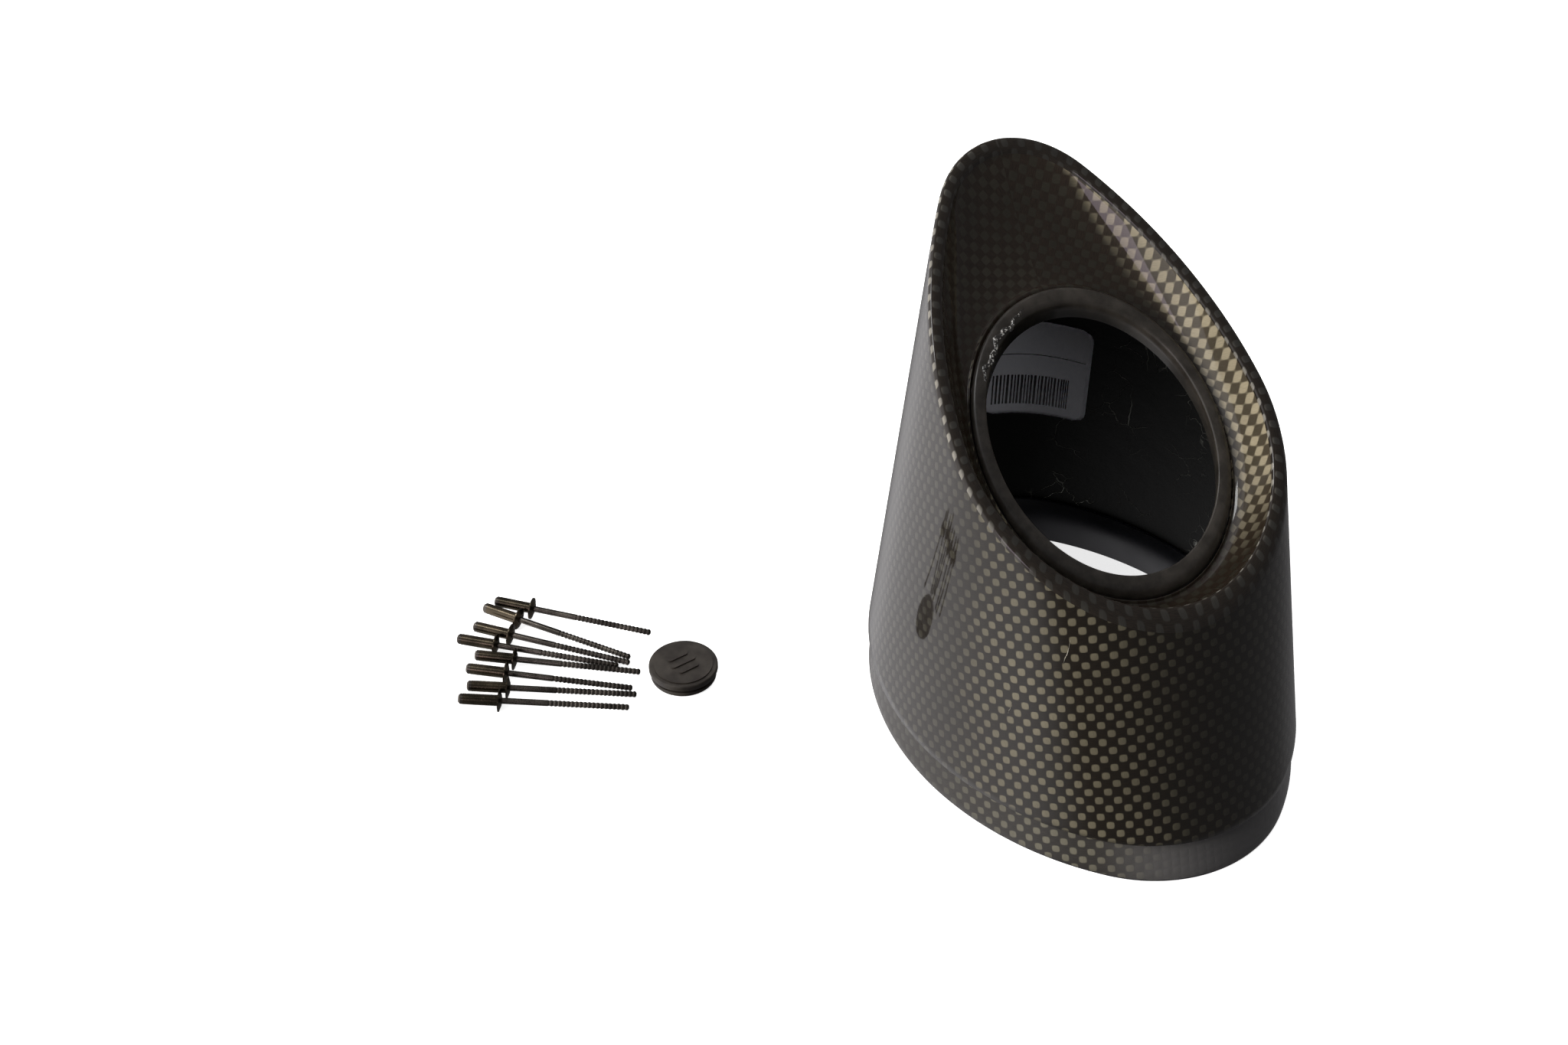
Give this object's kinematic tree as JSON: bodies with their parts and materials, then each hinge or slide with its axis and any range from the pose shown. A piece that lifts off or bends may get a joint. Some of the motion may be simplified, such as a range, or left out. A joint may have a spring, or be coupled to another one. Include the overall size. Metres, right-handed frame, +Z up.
{
  "type": "muffler end cap kit",
  "caption": "Tapered oval carbon end cap for a motorcycle muffler, with a slanted scooped mouth around a round outlet, and its loose blind rivets and rubber plug.",
  "frame": {"origin": "centre of the spigot ring's foot, on the surface that the kit stands on", "axes": "+Z up the muffler's axis, +X to the low lip of the slanted mouth and -X to its peak; the cap is symmetric about the X-Z plane"},
  "size_m": [0.1737, 0.2233, 0.1433],
  "materials": {
    "carbon": "clear-coated carbon fibre, fine plain weave",
    "collar": "satin grey moulded composite",
    "spigot": "satin resin-rich composite",
    "liner": "dark creased heat foil",
    "label": "printed film",
    "plug": "matte moulded rubber",
    "rivet_sleeve": "dark burnished steel",
    "rivet_mandrel": "drawn steel wire"
  },
  "bodies": {
    "cap": {"outer_shell": "carbon", "outlet_scoop": "carbon", "outlet_collar": "collar", "spigot_ring": "spigot", "heat_liner": "liner", "label": "label"},
    "rivet_1": {"rivet_sleeve_1": "rivet_sleeve", "rivet_mandrel_1": "rivet_mandrel"},
    "rivet_2": {"rivet_sleeve_2": "rivet_sleeve", "rivet_mandrel_2": "rivet_mandrel"},
    "rivet_3": {"rivet_sleeve_3": "rivet_sleeve", "rivet_mandrel_3": "rivet_mandrel"},
    "rivet_4": {"rivet_sleeve_4": "rivet_sleeve", "rivet_mandrel_4": "rivet_mandrel"},
    "rivet_5": {"rivet_sleeve_5": "rivet_sleeve", "rivet_mandrel_5": "rivet_mandrel"},
    "rivet_6": {"rivet_sleeve_6": "rivet_sleeve", "rivet_mandrel_6": "rivet_mandrel"},
    "rivet_7": {"rivet_sleeve_7": "rivet_sleeve", "rivet_mandrel_7": "rivet_mandrel"},
    "rivet_8": {"rivet_sleeve_8": "rivet_sleeve", "rivet_mandrel_8": "rivet_mandrel"},
    "plug": {"rubber_plug": "plug"}
  },
  "joints": [
    {"name": "rivet_1_lift", "type": "slide", "parent": "cap", "child": "rivet_1", "axis": [0, 0, 1], "range_m": [0, 0.05]},
    {"name": "rivet_2_lift", "type": "slide", "parent": "cap", "child": "rivet_2", "axis": [0, 0, 1], "range_m": [0, 0.05]},
    {"name": "rivet_3_lift", "type": "slide", "parent": "cap", "child": "rivet_3", "axis": [0, 0, 1], "range_m": [0, 0.05]},
    {"name": "rivet_4_lift", "type": "slide", "parent": "cap", "child": "rivet_4", "axis": [0, 0, 1], "range_m": [0, 0.05]},
    {"name": "rivet_5_lift", "type": "slide", "parent": "cap", "child": "rivet_5", "axis": [0, 0, 1], "range_m": [0, 0.05]},
    {"name": "rivet_6_lift", "type": "slide", "parent": "cap", "child": "rivet_6", "axis": [0, 0, 1], "range_m": [0, 0.05]},
    {"name": "rivet_7_lift", "type": "slide", "parent": "cap", "child": "rivet_7", "axis": [0, 0, 1], "range_m": [0, 0.05]},
    {"name": "rivet_8_lift", "type": "slide", "parent": "cap", "child": "rivet_8", "axis": [0, 0, 1], "range_m": [0, 0.05]},
    {"name": "plug_lift", "type": "slide", "parent": "cap", "child": "plug", "axis": [0, 0, 1], "range_m": [0, 0.05]}
  ]
}
